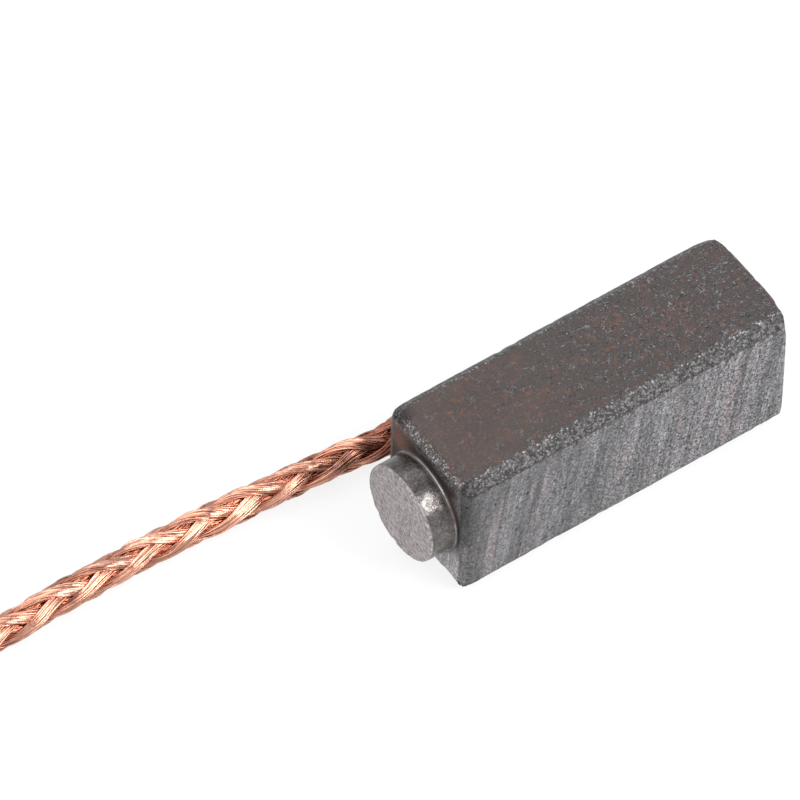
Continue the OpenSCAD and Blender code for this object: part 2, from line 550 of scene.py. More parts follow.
def drawn_side(mat, block, away, height_up, pepper):
    """Colour of the sides: salt-and-pepper grain, coarser towards the contact end, with
    leaning streaks where the die drew the block out. Also gives the pits."""
    lean = mat.spread(mat.times(height_up, -0.16), axes="X")
    leaning = mat.vector("ADD", mat.millimetres, lean)

    def drawn(scale, detail, narrow, shift=0):
        return mat.noise(scale, detail, 0.5, (1.0, 1.0, narrow), shift, leaning)

    side = mat.shade(block.rubbed_colour, mat.ramp(drawn(1.5, 2, 0.05), 0.32, 0.68, 0.82, 1.18))
    side = mat.shade(side, mat.ramp(drawn(5.0, 2, 0.06, 3), 0.34, 0.64, 0.72, 1.2))
    groove = mat.maths("ABSOLUTE", mat.maths("SUBTRACT", drawn(4.2, 1, 0.03, 43), 0.5))
    side = mat.shade(side, mat.ramp(groove, 0.003, 0.022, 0.68, 1.05))
    side = mat.shade(side, mat.ramp(away, -7.0, -1.0, 0.85, 1.04))
    pink = mat.ramp(drawn(2.6, 1, 0.05, 9), 0.58, 0.68, 0, 0.5)
    pink = mat.times(pink, mat.ramp(mat.noise(0.5, 2, shift=2), 0.4, 0.6, 0.2, 1.0))
    side = mat.blend(pink, side, block.streak_colour)

    faint = mat.ramp(pepper, 0.36, 0.60, 0.62, 1.2)
    strong = mat.ramp(pepper, 0.38, 0.58, 0.22, 1.34)
    side = mat.shade(side, mat.lerp(mat.ramp(away, -5.5, 1.5), faint, strong))
    _, salt = mat.cells(12.5)
    side = mat.shade(side, mat.ramp(salt, 0, 1, 0.70, 1.34))
    pits = mat.spots(4.2, 0.36, 0.16, 0.8, 0.88, shift=17)
    return mat.shade(side, mat.ramp(pits, 0, 1, 1, 0.42)), pits


def packed_crumbs(mat, block):
    """Colour of the broken bevels: packed crumbs, each with its own brightness. Also gives
    the brightness of the crumbs and the brightest of them."""
    middle, crumb = mat.cells(13, shift=29)
    _, dust = mat.cells(21, shift=31)
    tone = mat.times(
        mat.ramp(crumb, 0.1, 0.95, 0.32, 1.5),
        mat.ramp(dust, 0, 1, 0.7, 1.3),
        mat.ramp(middle, 0.2, 0.6, 1.15, 0.72),
    )
    brightest = mat.times(mat.ramp(crumb, 0.64, 0.95), mat.ramp(middle, 0.6, 0.3))
    return mat.shade(block.broken_colour, tone), crumb, brightest


def dressed_spigot(mat, block, colour, pepper):
    """Adds the spigot's scored end, its burnished wall and a bright painted highlight along the
    flash at its foot to a colour. Also gives the scoring and that painted highlight."""
    scored = mat.noise(12, 3, 0.7, stretch=(1.0, 0.4, 1.0), place=mat.turned_about_x(-0.62))
    tone = mat.ramp(scored, 0.38, 0.58, 0.5, 1.15)
    tone = mat.times(tone, mat.ramp(pepper, 0.35, 0.65, 0.86, 1.1))
    colour = mat.blend(mat.attribute("spigot_end"), colour, mat.shade(block.end_colour, tone))
    tone = mat.ramp(mat.noise(5.0, 3, 0.8, shift=71), 0.34, 0.66, 0.62, 1.32)
    colour = mat.blend(mat.attribute("spigot_wall"), colour, mat.shade(block.wall_colour, tone))
    # A bright painted highlight along the flash, broken up by noise.
    broken = mat.ramp(mat.noise(1.6, 2, shift=61), 0.36, 0.6, 0.2, 1.0)
    flash = mat.times(mat.attribute("ridge_highlight"), broken)
    return mat.blend(flash, colour, block.flash_highlight_colour), scored, flash


def graphite_material(block):
    """Pressed copper graphite: brown and matte on the pressed faces, grey, grained and
    drawn on the sides, and crumbly on the bevels."""
    mat = Recipe("Copper graphite")
    rubbed = mat.attribute("rubbed")
    bevel = mat.attribute("bevel")
    lip = mat.attribute("lip")
    wall = mat.attribute("spigot_wall")
    away, _, height_up = mat.axes()
    pepper = mat.noise(10, 3, 0.8, shift=5)
    grain = mat.noise(13, 2, 0.6)

    pressed, scuffs, scuff_pits = pressed_skin(mat, block, away)
    drawn, side_pits = drawn_side(mat, block, away, height_up, pepper)
    crumbly, crumb, brightest = packed_crumbs(mat, block)
    colour = mat.blend(rubbed, pressed, drawn)
    colour = mat.blend(bevel, colour, crumbly)
    colour = mat.shade(colour, mat.ramp(mat.attribute("brow"), 0.1, 1.0, 1.0, 0.75))
    torn_lip = mat.times(lip, mat.ramp(crumb, 0.35, 0.55))
    colour = mat.blend(torn_lip, colour, mat.shade(crumbly, 1.15))
    # Painted glints on the brightest crumbs along the crests and the rear lip.
    glints = mat.times(brightest, mat.larger(mat.attribute("crest"), mat.times(lip, 0.8)))
    colour = mat.blend(mat.times(glints, 0.7), colour, block.glint_colour)
    colour, scored, flash = dressed_spigot(mat, block, colour, pepper)
    colour = mat.blend(mat.attribute("rust"), colour, block.fleck_colour)
    colour = mat.shade(colour, mat.ramp(grain, 0.3, 0.7, 0.84, 1.16))
    # Painted light and shade round the rear end.
    colour = mat.shade(colour, mat.attribute("light"))

    rough = mat.lerp(rubbed, 0.58, 0.5)
    rough = mat.lerp(wall, rough, mat.ramp(pepper, 0.35, 0.65, 0.36, 0.22))
    rough = mat.lerp(scuffs, rough, 0.35)
    metal = mat.larger(mat.times(glints, 0.5), mat.times(wall, 0.75))
    metal = mat.larger(metal, mat.times(flash, 0.8))
    mat.surface(Base_Color=colour, Roughness=rough, Metallic=metal, Specular_IOR_Level=0.25)

    height = mat.times(pepper, mat.lerp(rubbed, 0.25, 1.0))
    height = mat.maths("ADD", height, mat.times(crumb, mat.times(bevel, 1.3)))
    height = mat.maths("ADD", height, mat.times(scored, mat.attribute("spigot_end"), 1.6))
    height = mat.maths("SUBTRACT", height, mat.times(scuff_pits, 0.8))
    height = mat.maths("SUBTRACT", height, mat.times(side_pits, mat.times(rubbed, 1.2)))
    mat.relief(height, 0.022 * MM)
    return mat.material


def copper_material(braid):
    """Drawn copper wire, each wire with its own tone, with painted shade that makes it redder
    where the plait is deep, and dark next to the block, where it is tarnished and in painted
    shade."""
    mat = Recipe("Bare copper wire")
    tone = mat.ramp(mat.attribute("wire"), 0, 1, 0.5, 1.28)
    tone = mat.times(tone, mat.ramp(mat.noise(0.8, 2, 0.5), 0.3, 0.7, 0.86, 1.1))
    colour = mat.shade(braid.copper_colour, tone)
    dull = mat.ramp(mat.noise(1.9, 3, 0.6, shift=9), 0.50, 0.66, 0, 0.8)
    colour = mat.blend(dull, colour, braid.dull_colour)
    # Painted shade deep in the plait, redder and darker.
    colour = mat.blend(mat.ramp(mat.attribute("depth"), 0.08, 0.42), colour, braid.crevice_shade_colour)
    # Tarnish and painted shade next to the block.
    colour = mat.blend(mat.attribute("tarnish_and_shade"), colour, braid.tarnish_and_shade_colour)
    rough = mat.ramp(mat.noise(5, 2), 0.3, 0.7, 0.17, 0.36)
    mat.surface(Base_Color=colour, Metallic=1.0, Roughness=rough)
    mat.relief(mat.noise(16, 2, 0.5), 0.003 * MM)
    return mat.material


def powder_material(braid):
    """Rammed copper powder, dull and grainy, with bright grains."""
    mat = Recipe("Rammed copper powder")
    grain = mat.noise(9, 3, 0.65)
    colour = mat.shade(braid.powder_colour, mat.ramp(grain, 0.3, 0.7, 0.45, 1.5))
    bright = mat.spots(9, 0.4, 0.2, 0.8, 0.9)
    colour = mat.blend(bright, colour, braid.grain_colour)
    metal = mat.ramp(bright, 0, 1, 0.35, 1.0)
    mat.surface(Base_Color=colour, Metallic=metal, Roughness=mat.ramp(bright, 0, 1, 0.7, 0.35))
    mat.relief(grain, 0.04 * MM)
    return mat.material


def tin_material(braid):
    """Dipped tin: grey and satin, with the copper showing through at its start."""
    mat = Recipe("Dipped tin")
    cloud = mat.noise(2.0, 3, 0.6)
    colour = mat.shade(braid.tin_colour, mat.ramp(cloud, 0.3, 0.7, 0.78, 1.1))
    bare = mat.times(mat.attribute("bare"), mat.ramp(mat.noise(3, 2, shift=4), 0.4, 0.6))
    colour = mat.blend(bare, colour, braid.copper_colour)
    rough = mat.ramp(mat.noise(5, 3), 0.3, 0.7, 0.22, 0.45)
    mat.surface(Base_Color=colour, Metallic=1.0, Roughness=rough)
    mat.relief(mat.noise(4, 3), 0.012 * MM)
    return mat.material


# --------------------------------------------------------------- the block


def section_outline(half_width, half_height, bevel, step):
    """Points round the block's bevelled section, the kind of face that each lies on, and
    its distance from the nearest corner. Crest and brow are its distances from the edge of
    a pressed face and of a side, where its own face has one."""
    y_in, z_in = half_width - bevel, half_height - bevel
    corners = np.array([
        (half_width, -z_in), (half_width, z_in), (y_in, half_height), (-y_in, half_height),
        (-half_width, z_in), (-half_width, -z_in), (-y_in, -half_height), (y_in, -half_height),
    ])
    kinds = [SIDE, BEVEL, PRESSED, BEVEL] * 2
    on_crest = [False, False, True, True] * 2
    far = 10 * half_width
    found = {"points": [], "kind": [], "corner": [], "crest": [], "brow": []}
    for index, kind in enumerate(kinds):
        after = (index + 1) % len(corners)
        here, there = corners[index], corners[after]
        length = np.linalg.norm(there - here)
        inner = spaced(2 * SOFT_EDGE, length - 2 * SOFT_EDGE, step)
        for distance in [SOFT_EDGE, *inner, length - 2 * SOFT_EDGE, length - SOFT_EDGE]:
            ends = ((on_crest[index], distance), (on_crest[after], length - distance))
            found["points"].append(here + (there - here) * distance / length)
            found["kind"].append(kind)
            found["corner"].append(min(distance, length - distance))
            found["crest"].append(min((away for crest, away in ends if crest), default=far))
            found["brow"].append(min((away for crest, away in ends if not crest), default=far))
    return {name: np.array(values) for name, values in found.items()}


class BlockSkin:
    """The block's surface as rings about its length, from the middle of the spigot's end
    to the middle of the contact face. Each ring has a zone and a distance from an edge."""

    def __init__(self, block, low, high):
        self.block = block
        self.end_x, self.contact_x = low.x, high.x
        self.rear_x = low.x + block.spigot_length
        self.half_width = (high.y - low.y) / 2
        self.half_height = (high.z - low.z) / 2
        self.middle_z = low.z + self.half_height
        self.section = section_outline(
            self.half_width, self.half_height, block.long_bevel, block.mesh_step
        )
        self.outline = self.section.pop("points")
        angle = np.arctan2(self.outline[:, 1], self.outline[:, 0])
        self.circle = np.stack([np.cos(angle), np.sin(angle)], axis=1)
        # The rings are added from the contact face back, and then turned round.
        self.rings, self.zones, self.from_edge = [], [], []
        self.add_body()
        self.add_rear_face()
        self.add_spigot()
        self.rings = np.array(self.rings)[::-1]
        self.rings[:, :, 2] += self.middle_z
        self.zones = np.array(self.zones)[::-1]
        self.count, self.sides = self.rings.shape[:2]
        self.from_edge = np.repeat(self.from_edge[::-1], self.sides)
        self.points = self.rings.reshape(-1, 3)

    def add(self, x, section, zone, from_edge):
        self.rings.append(np.column_stack([np.full(len(section), x), section]))
        self.zones.append(zone)
        self.from_edge.append(from_edge)

    def add_circle(self, out, radius, zone, from_edge=0):
        """A round ring, out from the rear face."""
        self.add(self.rear_x - out, self.circle * radius, zone, from_edge)

    def clipped(self, depth, bevel):
        """The section where it is depth away from an end with that bevel."""
        radius = self.block.corner_radius
        lost = radius - math.sqrt(max(radius**2 - max(radius - depth, 0) ** 2, 0))
        limits = np.array([self.half_width - lost, self.half_height - max(bevel - depth, 0)])
        return np.clip(self.outline, -limits, limits)

    def add_body(self):
        """The contact face and the body behind it."""
        block, step = self.block, self.block.mesh_step
        face = self.clipped(0, block.contact_bevel)
        for share in spaced(INNERMOST, 1, END_COARSENESS * step / self.half_height):
            self.add(self.contact_x, face * share, "contact", (1 - share) * self.half_width)
        radius = block.corner_radius
        near_end = [*NEAR_END, *spaced(0.1 * MM, radius, 0.05 * MM)]
        for depth in near_end:
            self.add(self.contact_x - depth, self.clipped(depth, block.contact_bevel), "body", depth)
        length = self.contact_x - self.rear_x
        for depth in spaced(radius, length - radius, step):
            self.add(self.contact_x - depth, self.outline, "body", min(depth, length - depth))
        for depth in reversed(near_end):
            self.add(self.rear_x + depth, self.clipped(depth, block.rear_bevel), "body", depth)

    def add_rear_face(self):
        """The rear face, from its edge in to the foot of the spigot."""
        face = self.clipped(0, self.block.rear_bevel)
        foot = self.circle * (self.block.spigot_diameter / 2 + self.block.flash)
        for share in spaced(0.1, 1, 0.085):
            from_edge = 0.3 * MM * (1 - abs(2 * share - 1)) + 0.05 * MM
            self.add(self.rear_x, face + (foot - face) * share, "rear", from_edge)

    def add_spigot(self):
        """The flash at the spigot's foot, its wall, its worn rim and its end."""
        flash, bevel, step = self.block.flash, self.block.spigot_bevel, self.block.mesh_step
        radius = self.block.spigot_diameter / 2
        for out, over in FLASH_PROFILE:
            self.add_circle(out * flash, radius + over * flash, "flash")
        wall_end = self.block.spigot_length - bevel
        for out in spaced(1.6 * flash, wall_end, step):
            self.add_circle(out, radius, "wall", wall_end - out)
        for turn in np.linspace(0, math.pi / 2, 5):
            out = wall_end + bevel * math.sin(turn)
            self.add_circle(out, radius - bevel * (1 - math.cos(turn)), "rim")
        end_radius = radius - bevel
        for share in spaced(0.96, INNERMOST, END_COARSENESS * step / end_radius):
            self.add(self.end_x, self.circle * end_radius * share, "end", (1 - share) * end_radius)

    def zone(self, *names):
        """1 at each point of the named zones, and 0 elsewhere."""
        return np.repeat(np.isin(self.zones, names), self.sides).astype(float)

    def normals(self):
        """Outward normals of the rings' points."""
        across = np.roll(self.rings, -1, axis=1) - np.roll(self.rings, 1, axis=1)
        normal = np.cross(across, np.gradient(self.rings, axis=0)).reshape(-1, 3)
        return normal / np.maximum(np.linalg.norm(normal, axis=1, keepdims=True), 1e-12)


def face_masks(skin):
    """Where each kind of face and edge is, from 0 to 1 at each of the skin's points."""
    kind, from_corner, from_crest, from_brow = (
        np.tile(skin.section[name], skin.count) for name in ("kind", "corner", "crest", "brow")
    )
    body = skin.zone("body")
    edge = np.maximum(fade(skin.from_edge, EDGE_WIDTH), body * fade(from_corner, EDGE_WIDTH))
    edge *= 1 - 0.7 * skin.zone("rear", "flash", "wall")
    from_rear = skin.points[:, 0] - skin.rear_x
    # The lip is above and below the rear face, and ends sharply.
    lip = body * (np.abs(skin.points[:, 2] - skin.middle_z) > 2.0 * MM)
    lip *= fade(from_rear**2, LIP_REACH**2) * (kind != SIDE)
    # The painted highlight along the flash lies on its second ring.
    ridge_highlight = np.zeros((skin.count, skin.sides))
    ridge_highlight[np.flatnonzero(skin.zones == "flash")[1]] = 1
    return {
        "rubbed": body * (kind == SIDE),
        "bevel": body * (kind == BEVEL),
        "crest": body * fade(from_crest, CREST_REACH),
        "brow": body * fade(from_brow, CREST_REACH),
        "edge": edge,
        "lip": lip,
        "ridge_highlight": ridge_highlight.ravel(),
        "spigot_wall": skin.zone("wall"),
        "spigot_end": skin.zone("end", "rim"),
    }


def rear_tones(points, middle, patch, crumbs):
    """The rear face's look, in places that are in millimetres: its painted light and shade, where
    copper has rubbed on it, where it takes the sides' lighter grey outside the painted shade,
    and where it is torn."""
    y, z = points[:, 1] / MM, points[:, 2] / MM
    # Painted shade: dark above, less so by the -Y side, and a painted shadow of the spigot close
    # round it.
    dark = step_up(z + 0.5 * patch + 0.25 * y, 1.4, 2.6)
    dark *= 1 - 0.65 * step_up(-y + 0.25 * patch + 0.1 * crumbs, 1.5, 2.05)
    from_foot = np.hypot(y, z - middle) - 2.0
    dark = np.maximum(dark, step_up(z, 1.6, 2.8) * fade(from_foot, 0.4))
    # Copper in the upper corner on the +Y side, and a torn edge at the top.
    rust = fade(y - 1.7, 0.65) * fade(z - 4.8 + 0.3 * patch, 0.7)
    torn = step_up(z + 0.2 * patch + 0.15 * crumbs, 5.15, 5.5)
    dark *= (1 - 0.4 * rust) * (1 - 0.4 * torn)
    # Painted light from below lifts the lowest part of the face.
    light = 1.65 - 1.4 * dark + 0.55 * (1 - step_up(z + 0.3 * patch, 1.0, 2.0))
    return {"light": light, "rust": rust, "grey": 1 - dark, "torn": torn}


def end_tones(skin):
    """The rear face's tones, the painted light and shade on the rest of the skin round the rear
    end, and where the painted highlight on the flash lies. Places are in millimetres."""
    points, middle = skin.points, skin.middle_z / MM
    x, y, z = ((points - (skin.rear_x, 0, 0)) / MM).T
    patch = value_noise(points, 0.5 * MM, 71)
    crumbs = value_noise(points, 0.2 * MM, 73)
    rear = skin.zone("rear")
    tones = {name: tone * rear for name, tone in rear_tones(points, middle, patch, crumbs).items()}

    # The wall is darker above, with one painted highlight along it as a stripe.
    turn = np.arctan2(z - middle, -y)
    wall = 0.78 + 0.16 * value_noise(points, (0.6 * MM, 0.45 * MM, 0.45 * MM), 72)
    wall *= 1 - 0.35 * step_up(z, 3.6, 4.6)
    wall *= 1 + 1.1 * fade(turn - SHINE_TURN + 0.14 * crumbs, SHINE_WIDTH)
    # Where the painted highlight on the flash is brightest.
    tones["glint"] = fade(turn - SHINE_TURN - GLINT_LEAD, SHINE_WIDTH)

    # Painted shade: the +Y side, and the upper part of the -Y side, darken towards the rear end.
    near_edge = fade(np.maximum(x, 0), 0.7) * step_up(z + 0.4 * patch, 1.8, 3.6)
    body = np.where(y > 1.5, 1 - 0.65 * fade(x, 0.5), 1 - 0.6 * near_edge * (y < -2.0))
    rest = np.where(skin.zone("wall"), wall, body)
    tones["light"] = np.where(rear, tones["light"], rest)
    return tones


def block_wear(points, masks, block):
    """How far the surface lies under its true form, from chips, pits and drawn lines."""
    grain = value_noise(points, 0.17 * MM, 11)
    crumbs = value_noise(points, 0.3 * MM, 12)
    waves = value_noise(points, 2.2 * MM, 13)
    chips = step_up(value_noise(points, 0.34 * MM, 14) + 0.35 * grain, 0.1, 0.8)
    lines = value_noise(points, (0.16 * MM, 0.5 * MM, 2.4 * MM), 15)
    depth = 0.004 * MM * (1 - waves) + 0.002 * MM * (1 - grain)
    depth += masks["bevel"] * 0.012 * MM * (1 - crumbs)
    depth += masks["edge"] * 0.012 * MM
    depth += masks["rubbed"] * 0.004 * MM * (1 - lines)
    depth += masks["edge"] * block.chip_depth * chips
    return depth


def worn_away(points, block, low, high):
    """The points after handling has rounded the corners of the block's ends. Each corner
    has the way in which it wore, how much of the full depth, and how far round it."""
    rear_x = low.x + block.spigot_length
    corners = [
        ((high.x, low.y, high.z), (-0.75, 0.1, -0.65), 1.0, 0.85 * MM),
        ((high.x, high.y, high.z), (-0.6, -0.65, -0.4), 0.9, 0.55 * MM),
        ((rear_x, high.y, high.z), (0.7, -0.6, -0.3), 1.1, 0.5 * MM),
        ((rear_x, low.y, high.z), (0.5, 0.4, -0.7), 0.5, 0.5 * MM),
        ((high.x, low.y, low.z), (-0.7, 0.6, 0.3), 0.5, 0.5 * MM),
    ]
    for place, way, share, reach in corners:
        near = fade(np.linalg.norm(points - np.array(place), axis=1), reach)
        points = points + near[:, None] * np.array(way) * share * block.worn_corner
    return points


def build_block(block, low, high):
    """The block's vertices, faces and painted masks."""
    skin = BlockSkin(block, low, high)
    masks = face_masks(skin)
    tones = end_tones(skin)
    # The rear face takes the sides' lighter grey outside its painted shade.
    masks["rubbed"] = np.maximum(masks["rubbed"], tones["grey"])
    masks["bevel"] = np.maximum(masks["bevel"], tones["torn"])
    # The painted highlight along the flash is brightest at the glint.
    masks["ridge_highlight"] *= 0.4 + 0.6 * tones["glint"]
    # The painted light and shade, and the copper rubbed on the rear face.
    masks["light"], masks["rust"] = tones["light"], tones["rust"]
    points = skin.points - skin.normals() * block_wear(skin.points, masks, block)[:, None]
    points = worn_away(points, block, low, high)
    points[:, 2] = np.maximum(points[:, 2], low.z)
    vertices, faces = closed_loft(points.reshape(skin.rings.shape))
    del masks["edge"]
    masks = {name: np.append(mask, [mask[0], mask[-1]]) for name, mask in masks.items()}
    return vertices, faces, masks


def cut_hole(piece, low, high, mouth_radius, floor_radius):
    """Cuts the tamping hole, a cone along Y, out of the piece for good."""
    slope = (mouth_radius - floor_radius) / (high.y - low.y)
    floor = hole_ring(low, high, floor_radius, low.y)
    mouth = hole_ring(low, high, mouth_radius + slope * CUTTER_REACH, high.y + CUTTER_REACH)
    cutter = new_object("hole_cutter", *closed_loft(np.array([floor, mouth])))
    cut = piece.modifiers.new("Hole", "BOOLEAN")
    cut.operation = "DIFFERENCE"
    cut.solver = "EXACT"
    cut.object = cutter
    bpy.context.view_layer.update()
    graph = bpy.context.evaluated_depsgraph_get()
    mesh = bpy.data.meshes.new_from_object(piece.evaluated_get(graph))
    piece.modifiers.clear()
    old = piece.data
    piece.data = mesh
    bpy.data.meshes.remove(old)
    bpy.data.objects.remove(cutter)


# --------------------------------------------------------------- the braid


def smooth_route(points, step):
    """The route as a smooth line through its points, with a point at every step, and how
    far along it each point is."""
    points = np.array(points)
    ends = np.vstack([2 * points[0] - points[1], points, 2 * points[-1] - points[-2]])
    share = np.linspace(0, 1, 24, endpoint=False)[:, None]
    spans = []
    for before, here, there, after in zip(ends, ends[1:], ends[2:], ends[3:]):
        bend = 2 * before - 5 * here + 4 * there - after
        twist = 3 * here - before - 3 * there + after
        span = 2 * here + (there - before) * share + bend * share**2 + twist * share**3
        spans.append(0.5 * span)
    line = np.vstack([*spans, points[-1]])
    travelled = np.append(0, np.cumsum(np.linalg.norm(np.diff(line, axis=0), axis=1)))
    marks = np.linspace(0, travelled[-1], max(2, round(travelled[-1] / step) + 1))
    return np.stack([np.interp(marks, travelled, axis) for axis in line.T], axis=1), marks


def straight_run(start, direction, length, step):
    """Points and marks from just after start, straight on for a length."""
    marks = np.linspace(0, length, max(3, round(length / step) + 1))[1:]
    return start + marks[:, None] * unit(direction), marks


def carried_frames(line, last_up):
    """Two directions square to the line at each of its points, carried back from its far
    end without turning about it."""
    ahead = unit(np.gradient(line, axis=0))
    up = np.array(last_up, float)
    ups = []
    for direction in ahead[::-1]:
        up = unit(up - direction * (up @ direction))
        ups.append(up)
    ups = np.array(ups[::-1])
    return np.cross(ahead, ups), ups


class Plait:
    """The whole braid, from its rammed root through the free run to its dipped end. Marks
    are distances from the mouth of the hole."""

    STRANDS = 8

    def __init__(self, braid):
        self.braid = braid
        step = braid.ring_step
        line, marks = smooth_route(PIGTAIL_ROUTE, step)
        root, root_marks = straight_run(line[0], line[0] - line[1], braid.root_length, step)
        tip, tip_marks = straight_run(line[-1], line[-1] - line[-2], braid.tip_length, step)
        self.free_length = float(marks[-1])
        self.line = np.vstack([root[::-1], line, tip])
        self.marks = np.concatenate([-root_marks[::-1], marks, marks[-1] + tip_marks])
        self.sideways, self.ups = carried_frames(self.line, (0, 0, 1))
        self.root = slice(0, len(root) + 1)
        self.free = slice(len(root), len(root) + len(line))
        self.tip = slice(len(root) + len(line) - 1, len(self.line))

    def way(self, strand):
        """Half of the strands turn each way."""
        return 1 if strand < self.STRANDS // 2 else -1

    def angle(self, strand):
        """The turn of a strand about the line."""
        start = 4 * math.pi / self.STRANDS * (strand % (self.STRANDS // 2))
        return self.way(strand) * 2 * math.pi * self.marks / self.braid.pitch + start

    def radius(self, strand):
        """A strand's distance from the line: it goes over two others and under two."""
        swing = self.way(strand) * np.cos(2 * self.angle(strand) - math.pi / 4)
        loose = noise_along(self.marks, strand * 3.7 * MM, 1.9 * MM, 35)
        return self.braid.diameter * (0.284 + 0.106 * swing + 0.020 * loose)

    def outward(self, turn):
        """Directions square to the line, at turns (rings, ...) about it."""
        shape = (len(self.line),) + (1,) * (turn.ndim - 1) + (3,)
        sideways, ups = self.sideways.reshape(shape), self.ups.reshape(shape)
        return np.cos(turn)[..., None] * sideways + np.sin(turn)[..., None] * ups

    def strand(self, strand, part):
        """Part of a strand's middle line, and its own directions ahead, out and across."""
        out = self.outward(self.angle(strand) + self.braid.phase)
        centre = self.line + self.radius(strand)[:, None] * out
        ahead = unit(np.gradient(centre, axis=0))
        out = unit(out - ahead * np.sum(out * ahead, axis=1, keepdims=True))
        return centre[part], ahead[part], out[part], np.cross(ahead, out)[part]

    def depth(self, points, part):
        """0 at the plait's outside and 1 at its middle, for points (rings, n, 3)."""
        away = np.linalg.norm(points - self.line[part][:, None, :], axis=2)
        return np.clip(1 - away / (self.braid.diameter / 2), 0, 1)


def on_oval(centre, out, across, turn, size):
    """Points on a strand's oval section at some turns, size times as far out."""
    outward = (size * np.cos(turn) * STRAND_OUT)[..., None] * out
    return centre + outward + (size * np.sin(turn) * STRAND_ACROSS)[..., None] * across


def strand_core(plait, strand, part):
    """The filling of one strand, just under its outer wires, painted dark as the shade between them.
    """
    centre, _, out, across = (value[:, None, :] for value in plait.strand(strand, part))
    return on_oval(centre, out, across, full_turn(12), 0.97 * plait.braid.diameter)


def strand_wires(plait, strand, part):
    """Rings (wires, rings, 4, 3) of a strand's outer wires, which wander a little, and a
    tone for each wire's ring."""
    braid = plait.braid
    centre, ahead, out, across = plait.strand(strand, part)
    marks = plait.marks[part]
    row, mark = np.meshgrid(np.arange(braid.wires), marks, indexing="ij")
    key = np.stack([mark.ravel(), row.ravel() * 1.0, np.full(mark.size, strand * 40.0)], axis=1)

    def wander(length, seed):
        return value_noise(key, (length, 1e-6, 1), seed).reshape(mark.shape)

    # Every wire keeps its place round the strand, which turns slowly, but it sways, lies
    # deeper or higher by a little, and now and then strays outwards.
    lay = 2 * math.pi * marks / (11 * MM) + strand
    turn = 2 * math.pi * row / braid.wires + lay
    turn += 0.36 * wander(1.9 * MM, 31) + 0.24 * wander(0.7 * MM, 33)
    stray = step_up(wander(1.5 * MM, 34), 0.5, 0.9)
    size = 0.92 + 0.09 * wander(1.3 * MM, 32) + 0.06 * wander(0.5 * MM, 39) + 0.2 * stray
    middle = on_oval(centre, out, across, turn, size * braid.diameter)

    square = np.cos(turn)[..., None] * out / STRAND_OUT
    square = unit(square + np.sin(turn)[..., None] * across / STRAND_ACROSS)
    beside = np.cross(np.broadcast_to(ahead, square.shape), square)
    radius = braid.wire_diameter / 2 * (1 + 0.12 * wander(40 * MM, 36))[..., None]
    corners = [middle + radius * side for side in (square, beside, -square, -beside)]

    lobe = noise_along(marks, strand * 5.3 * MM, 1.3 * MM, 82)
    tone = 0.55 + 0.25 * wander(60 * MM, 37) + 0.28 * wander(1.0 * MM, 38) + 0.4 * lobe
    return np.stack(corners, axis=2), np.clip(tone, 0, 1)


def build_plait(plait, part):
    """One stretch of the plait as one mesh of closed tubes: a core and outer wires for
    each strand. Also gives each vertex's tone and depth."""
    vertices, faces, tones, depths = [], [], [], []
    count = len(plait.marks[part])
    every_other = np.append(np.arange(0, count - 1, 2), count - 1)
    total = 0

    def add(rings, tone, depth):
        nonlocal total
        rings, tone, depth = rings[every_other], tone[every_other], depth[every_other]
        tube, quads = closed_loft(rings)
        vertices.append(tube)
        faces.extend([[index + total for index in face] for face in quads])
        tones.append(np.append(np.repeat(tone, rings.shape[1]), [tone[0], tone[-1]]))
        depths.append(np.append(depth.ravel(), [1, 1]))
        total += len(tube)

    for strand in range(plait.STRANDS):
        core = strand_core(plait, strand, part)
        # The core's low tone and its depth paint shade between the wires.
        add(core, np.full(count, 0.3), np.maximum(plait.depth(core, part), 0.1))
        for rings, tone in zip(*strand_wires(plait, strand, part)):
            add(rings, tone, plait.depth(rings, part))
    return np.vstack(vertices), faces, np.concatenate(tones), np.concatenate(depths)


def plait_outline(plait, part, turn):
    """How far the plait's outside is from its line, for rings of points round it."""
    thick, wide = (share * plait.braid.diameter for share in (STRAND_OUT, STRAND_ACROSS))
    reach = np.full((len(plait.marks[part]), len(turn)), 0.3 * plait.braid.diameter)
    for strand in range(plait.STRANDS):
        off = turn - (plait.angle(strand)[part] + plait.braid.phase)[:, None]
        radius = plait.radius(strand)[part][:, None]
        share = radius * np.sin(off) / wide
        over = radius * np.cos(off) + thick * np.sqrt(np.clip(1 - share**2, 0, 1))
        covered = (np.abs(share) < 1) & (np.cos(off) > 0)
        reach = np.maximum(reach, np.where(covered, over, 0))
    return reach


def build_tip(plait):
    """The dipped end: the plait's outline half filled with tin, rounded off at the end.
    Also gives where the copper shows."""
    length, rounding = plait.braid.tip_length, plait.braid.tip_round
    full = plait.braid.diameter / 2
    part = plait.tip
    marks = plait.marks[part] - plait.free_length
    turn = full_turn(TIP_SIDES)
    reach = plait_outline(plait, part, turn)
    mark, round_it = np.meshgrid(marks, turn * 0.3 * MM, indexing="ij")
    places = np.column_stack([mark.ravel(), round_it.ravel(), np.zeros(reach.size)])
    runs = 0.008 * full * value_noise(places, 0.5 * MM, 51).reshape(reach.shape)
    # The tin fills the grooves more towards the end, and runs a little unevenly.
    filled = 0.25 + 0.65 * step_up(marks, -0.5 * length, 0.8 * length)[:, None]
    radius = np.minimum(reach + (full - reach) * filled, full) * 0.985 + runs
    left = np.clip((length - marks) / rounding, 0, 1)
    radius *= (1 - rounding / full * (1 - np.sqrt(1 - (1 - left) ** 2)))[:, None]
    out = plait.outward(np.tile(turn, (len(plait.line), 1)))[part]
    rings = plait.line[part][:, None, :] + radius[..., None] * out
    cap = [plait.line[-1] + (rings[-1] - plait.line[-1]) * share for share in (0.75, 0.5, 0.25)]
    vertices, faces = closed_loft(np.concatenate([rings, np.array(cap)]))
    bare = np.repeat(1 - step_up(marks, 0.1 * MM, 0.9 * MM), TIP_SIDES)
    return vertices, faces, np.append(bare, np.zeros(len(vertices) - bare.size))


# -------------------------------------------------------------- the powder


